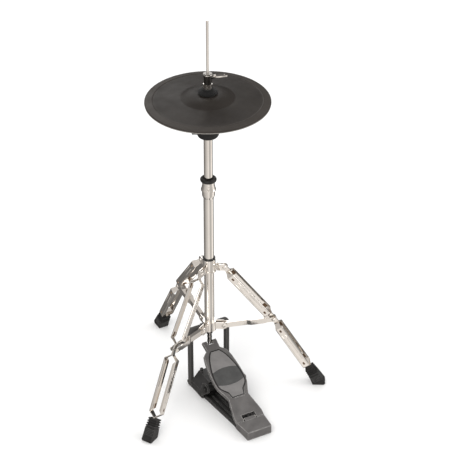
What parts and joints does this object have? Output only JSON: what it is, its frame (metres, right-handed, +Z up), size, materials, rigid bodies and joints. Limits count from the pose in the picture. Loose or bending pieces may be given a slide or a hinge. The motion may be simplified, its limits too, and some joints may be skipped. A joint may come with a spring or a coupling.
{
  "type": "electronic hi-hat",
  "caption": "Electronic hi-hat on a folding tripod stand: foot pedal, chain and pull rod close a rubber pad onto a controller.",
  "frame": {"origin": "on the stand's axis at the floor, on the underside of the base plate", "axes": "+Z up along the tube, -Y from the tube towards the pedal's heel, +X across the pedal to its right-hand side"},
  "size_m": [0.54, 0.574, 1.052],
  "materials": {
    "chrome": "bright chrome plate",
    "black_chrome": "smoked chrome plate",
    "steel": "zinc plated steel",
    "chain_black": "blackened steel",
    "cast_black": "black powder coat on a casting",
    "cast_grey": "grey textured coat on a casting",
    "inlay": "matt grey rubber panel",
    "grip": "dark rubber band",
    "rubber": "black moulded rubber",
    "nylon": "black nylon",
    "felt": "black pressed felt",
    "pad_rubber": "dark matt rubber playing surface",
    "pad_plastic": "dark grey moulded plastic",
    "controller": "black moulded plastic"
  },
  "bodies": {
    "base": {"base_plate": "cast_black", "toe_bracket": "cast_black", "stop_bar": "rubber", "bracket_bolts": "chain_black", "frame": "cast_black", "heel_block": "cast_grey", "hinge_pin": "steel", "lower_tube": "chrome", "lower_collar": "chrome", "collar_rivets": "chrome", "spring_seat": "nylon", "return_spring": "steel", "height_clamp": "chrome", "clamp_bushing": "nylon"},
    "footboard": {"footboard": "cast_grey", "footboard_inlay": "inlay", "grip_band": "grip", "toe_pin": "steel"},
    "rod": {"pull_rod": "chrome", "lower_rod": "chrome", "rod_end": "chain_black"},
    "chain": {"chain_plates": "chain_black", "chain_pins": "steel"},
    "column": {"upper_tube": "chrome", "memory_ring": "rubber", "controller_body": "controller", "controller_jack": "steel"},
    "plunger": {"controller_plunger": "controller"},
    "clutch": {"clutch_body": "black_chrome", "clutch_sleeve": "steel", "clutch_nut": "chrome", "lock_nuts": "chrome", "top_felt": "felt", "bottom_felt": "felt"},
    "clutch_wing": {"clutch_wing": "chrome"},
    "pad": {"pad_base": "pad_plastic", "pad_cover": "pad_rubber", "pad_jack": "steel", "bell_bushing": "rubber"},
    "clamp_wing": {"clamp_wing": "chrome"},
    "hub": {"leg_hub": "chrome", "hub_rivets": "chrome", "hub_insert": "nylon"},
    "hub_wing": {"hub_wing": "chrome"},
    "leg_right": {"leg_right_strap_a": "chrome", "leg_right_strap_b": "chrome", "leg_right_foot": "rubber"},
    "strut_right": {"strut_right": "chrome", "strut_right_rivets": "chrome"},
    "leg_back": {"leg_back_strap_a": "chrome", "leg_back_strap_b": "chrome", "leg_back_foot": "rubber"},
    "strut_back": {"strut_back": "chrome", "strut_back_rivets": "chrome"},
    "leg_left": {"leg_left_strap_a": "chrome", "leg_left_strap_b": "chrome", "leg_left_foot": "rubber"},
    "strut_left": {"strut_left": "chrome", "strut_left_rivets": "chrome"}
  },
  "joints": [
    {"name": "pedal_press", "type": "hinge", "parent": "base", "child": "footboard", "pos_m": [0, -0.21492, 0.02273], "axis": [-1, 0, 0], "range_deg": [0, 8]},
    {"name": "rod_travel", "type": "slide", "parent": "base", "child": "rod", "axis": [0, 0, -1], "range_m": [0, 0.03286], "stiffness_N_per_m": 500, "springref_m": -0.06, "deforming": ["return_spring"]},
    {"name": "chain_swing", "type": "hinge", "parent": "rod", "child": "chain", "pos_m": [0, 0, 0.15878], "axis": [1, 0, 0], "range_deg": [0, 17.73]},
    {"name": "height_adjust", "type": "slide", "parent": "base", "child": "column", "axis": [0, 0, 1], "range_m": [0, 0.12]},
    {"name": "clutch_height", "type": "slide", "parent": "rod", "child": "clutch", "axis": [0, 0, 1], "range_m": [0, 0.12]},
    {"name": "pad_swivel", "type": "hinge", "parent": "clutch", "child": "pad", "pos_m": [0, 0, 0.85], "axis": [0, 0, 1], "continuous": true},
    {"name": "plunger_press", "type": "slide", "parent": "column", "child": "plunger", "axis": [0, 0, -1], "range_m": [0, 0.004], "stiffness_N_per_m": 400, "springref_m": -0.003},
    {"name": "clutch_wing_turn", "type": "hinge", "parent": "clutch", "child": "clutch_wing", "pos_m": [0.01455, -0.00363, 0.903], "axis": [0.9703, -0.2419, 0], "range_deg": [-180, 180]},
    {"name": "clamp_wing_turn", "type": "hinge", "parent": "base", "child": "clamp_wing", "pos_m": [0.01174, 0.02207, 0.601], "axis": [0.4695, 0.8829, 0], "range_deg": [-180, 180]},
    {"name": "leg_fold", "type": "slide", "parent": "base", "child": "hub", "axis": [0, 0, 1], "range_m": [0, 0.11]},
    {"name": "hub_wing_turn", "type": "hinge", "parent": "hub", "child": "hub_wing", "pos_m": [0.00939, -0.01766, 0.372], "axis": [0.4695, -0.8829, 0], "range_deg": [-180, 180]},
    {"name": "leg_right_swing", "type": "hinge", "parent": "hub", "child": "leg_right", "pos_m": [0.03343, -0.0193, 0.3616], "axis": [0.5, 0.866, 0], "range_deg": [0, 16.44]},
    {"name": "strut_right_swing", "type": "hinge", "parent": "base", "child": "strut_right", "pos_m": [0.03187, -0.0184, 0.1817], "axis": [-0.5, -0.866, 0], "range_deg": [0, 42.44]},
    {"name": "leg_back_swing", "type": "hinge", "parent": "hub", "child": "leg_back", "pos_m": [0, 0.0386, 0.3616], "axis": [-1, 0, 0], "range_deg": [0, 16.44]},
    {"name": "strut_back_swing", "type": "hinge", "parent": "base", "child": "strut_back", "pos_m": [0, 0.0368, 0.1817], "axis": [1, 0, 0], "range_deg": [0, 42.44]},
    {"name": "leg_left_swing", "type": "hinge", "parent": "hub", "child": "leg_left", "pos_m": [-0.03343, -0.0193, 0.3616], "axis": [0.5, -0.866, 0], "range_deg": [0, 16.44]},
    {"name": "strut_left_swing", "type": "hinge", "parent": "base", "child": "strut_left", "pos_m": [-0.03187, -0.0184, 0.1817], "axis": [-0.5, 0.866, 0], "range_deg": [0, 42.44]}
  ],
  "couplings": [
    {"joint": "rod_travel", "follows": "pedal_press", "m_per_rad": 0.23387},
    {"joint": "chain_swing", "follows": "pedal_press", "ratio": 2.2043},
    {"joint": "clutch_height", "follows": "height_adjust", "ratio": 1},
    {"joint": "leg_right_swing", "follows": "leg_fold", "rad_per_m": 2.592},
    {"joint": "strut_right_swing", "follows": "leg_fold", "rad_per_m": 6.7181},
    {"joint": "leg_back_swing", "follows": "leg_fold", "rad_per_m": 2.592},
    {"joint": "strut_back_swing", "follows": "leg_fold", "rad_per_m": 6.7181},
    {"joint": "leg_left_swing", "follows": "leg_fold", "rad_per_m": 2.592},
    {"joint": "strut_left_swing", "follows": "leg_fold", "rad_per_m": 6.7181}
  ]
}
